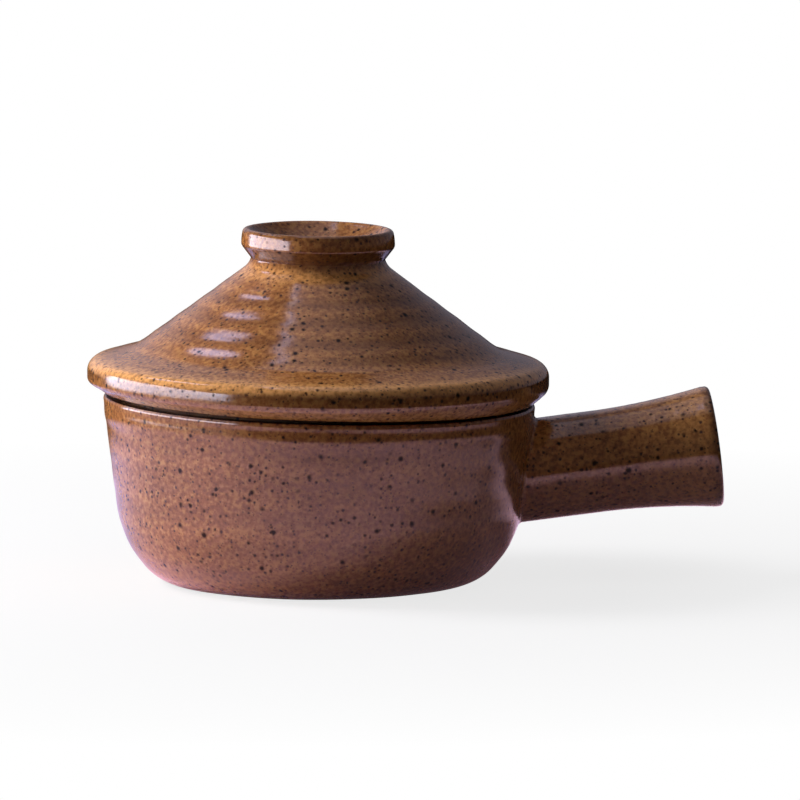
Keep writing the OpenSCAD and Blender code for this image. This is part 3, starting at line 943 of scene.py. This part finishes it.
def makeLid(shape):
    highC, valley, outward, coneTop = coneLine(shape, knobShape)
    flange, slope, highR = shape["flangeSlope"], shape["coneSlope"], shape["bandHighR"]
    lowC = Vector((lidR - shape["bandLowR"], rimZ + shape["bandLow"]))
    lipC = Vector((shape["lipX"], rimZ + shape["lipOver"] + shape["lipR"]))
    under = tangentTurn(lowC - lipC, shape["bandLowR"] - shape["lipR"]) - 90
    lipEnd = under + shape["lipPaintedLight"]
    run = shape["valleyR"] * math.tan(math.radians(180 - slope - flange) / 2)
    valleyC = valley + run * way(-flange) + shape["valleyR"] * way(90 - flange)
    innerR = ringR - ringShape["t"]
    inside = valley - shape["t"] * outward
    fall = math.tan(math.radians(slope))
    ceilingZ = coneTop.y - shape["crownT"]
    ceilingX = inside.x + (ceilingZ - inside.y) / fall
    ceilingC = Vector((ceilingX - shape["ceilingR"] * math.tan(math.radians(180 - slope) / 2),
                       ceilingZ - shape["ceilingR"]))
    ceiling = [Vector((0, ceilingZ))] + arc(ceilingC, shape["ceilingR"], 90, slope - 90)
    return throw("lid_glazed", [
        (ceiling, {"line": 1, "step": 2.5}),
        ([Vector((innerR, inside.y + (innerR - inside.x) * fall))], {"line": 1, "step": 2.5}),
        ([Vector((innerR, rimZ)), Vector((shape["seatX"], rimZ))], {"step": 2}),
        # From the seat out to the lip: rust colour as painted shade in the gap over the rim
        ([lipC + shape["lipR"] * way(-90)], {"thin": 1, "step": 0.6}),
        (arc(lipC, shape["lipR"], -90, under, 4), {}),
        # Painted light in honey where the lip meets the band
        (arc(lowC, shape["bandLowR"], under, lipEnd, 2), {"honey": 0.5}),
        (arc(lowC, shape["bandLowR"], lipEnd, 0, 6), {}),
        # Upper corner: rust colour, partly a painted dark reflection
        (arc(highC, highR, 0, shape["bandRustAndShade"], 4), {"thin": 0.4}),
        # Honey over the upper corner and on to the flange: partly a glaze break, partly painted light on
        # the lit corner
        (arc(highC, highR, shape["bandRustAndShade"], 90 - flange, 10), {"honey": 1}),
        ([highC + highR * way(90 - flange) - shape["honeyAndLightRun"] * way(-flange)], {"honey": 0.7}),
        (arc(valleyC, shape["valleyR"], 270 - flange, slope + 90, 12), {"line": 0.8}),
        ([coneTop - shape["ringFade"] * way(slope)],
         {"line": 0.8, "ring": 1, "ringFrom": shape["ringFrom"], "step": 0.8}),
        ([coneTop - shape["neckFade"] * way(slope)], {"line": 0.8, "step": 0.8}),
        ([coneTop], {"honey": 0.6, "step": 0.8}),
        ([Vector((0, coneTop.y))], {"step": 4}),
    ], shape["throwing"])


def makeKnob(shape):
    _, _, outward, coneTop = coneLine(lidShape, knobShape)
    slope, neckX = lidShape["coneSlope"], knobR - shape["neckIn"]
    neckLowC = coneTop + shape["neckLowR"] * outward
    neckHighC = Vector((neckX + shape["neckHighR"], knobZ - shape["neckHighDrop"]))
    lowC = Vector((knobR - shape["lowR"], knobZ - shape["faceH"]))
    under = tangentTurn(lowC - neckHighC, shape["lowR"] + shape["neckHighR"])
    faceC, faceRun = Vector((knobR - shape["faceR"], lowC.y)), shape["faceR"] - shape["topR"]
    faceTurn = math.degrees(math.asin((shape["faceH"] - shape["topR"]) / faceRun))
    topC = faceC + faceRun * way(faceTurn)
    depth = knobZ - coneTop.y - shape["floorT"]
    dishTurn = 2 * math.degrees(math.atan(depth / topC.x))
    dishR = topC.x / way(dishTurn).y - shape["topR"]
    dishC = Vector((0, coneTop.y + shape["floorT"] + dishR))
    hem = coneTop - shape["skirt"] * way(slope)
    over, neckLowR = shape["hemOver"] * outward, shape["neckLowR"] - shape["hemOver"]
    lowShadeEnd = under - 90 + shape["lowPaintedShade"]
    return throw("knob_glazed", [
        ([Vector((0, coneTop.y)), Vector((coneTop.x - shape["skirt"], coneTop.y))], {"step": 4}),
        ([hem - shape["hemDepth"] * outward, hem + over, coneTop + over], {"honey": 0.6}),
        # The fillet: painted light in honey on its lower part, painted shade above it under the knob
        (arc(neckLowC, neckLowR, slope + 90, shape["neckPaintedLightTo"], 6), {"honey": 0.5, "step": 0.6}),
        (arc(neckLowC, neckLowR, shape["neckPaintedLightTo"], 180, 8), {"thin": 0.2, "step": 0.6}),
        # Under the knob's edge and on its lower corner: rust colour as painted shade
        (arc(neckHighC, shape["neckHighR"], 180, under + 90, 8), {"thin": 0.6, "step": 0.6}),
        (arc(lowC, shape["lowR"], under - 90, lowShadeEnd, 3), {"thin": 0.5}),
        (arc(lowC, shape["lowR"], lowShadeEnd, 0, 10), {}),
        (arc(faceC, shape["faceR"], 0, faceTurn, 6), {}),
        # Top edge: rust colour, partly a painted dark reflection
        (arc(topC, shape["topR"], faceTurn, shape["topRustAndShade"], 6), {"thin": 0.5}),
        (arc(topC, shape["topR"], shape["topRustAndShade"], 90 + dishTurn, 4), {}),
        # The dish: darkened with rust colour as painted shade
        (arc(dishC, dishR, dishTurn - 90, -90, 24), {"line": 0.6, "thin": 0.2, "step": 1}),
    ], shape["throwing"])


def makeRing(shape):
    edge, innerR = shape["edgeR"], ringR - shape["t"]
    return throw("locating_ring_bare", [
        ([Vector((innerR, rimZ))], {}),
        (arc(Vector((innerR + edge, ringZ + edge)), edge, 180, 270, 6), {}),
        (arc(Vector((ringR - edge, ringZ + edge)), edge, -90, 0, 6), {}),
        ([Vector((ringR, rimZ)), Vector((innerR, rimZ))], {}),
    ], shape["throwing"])


covers = ((makeLid(lidShape), "lid", "iron_glaze"), (makeKnob(knobShape), "knob", "iron_glaze"),
          (makeRing(ringShape), "locating_ring", "bare_stoneware"))
for cover, node, slot in covers:
    cover.data.transform(Matrix.Translation(coverShift))
    dress(cover, "cover", node)
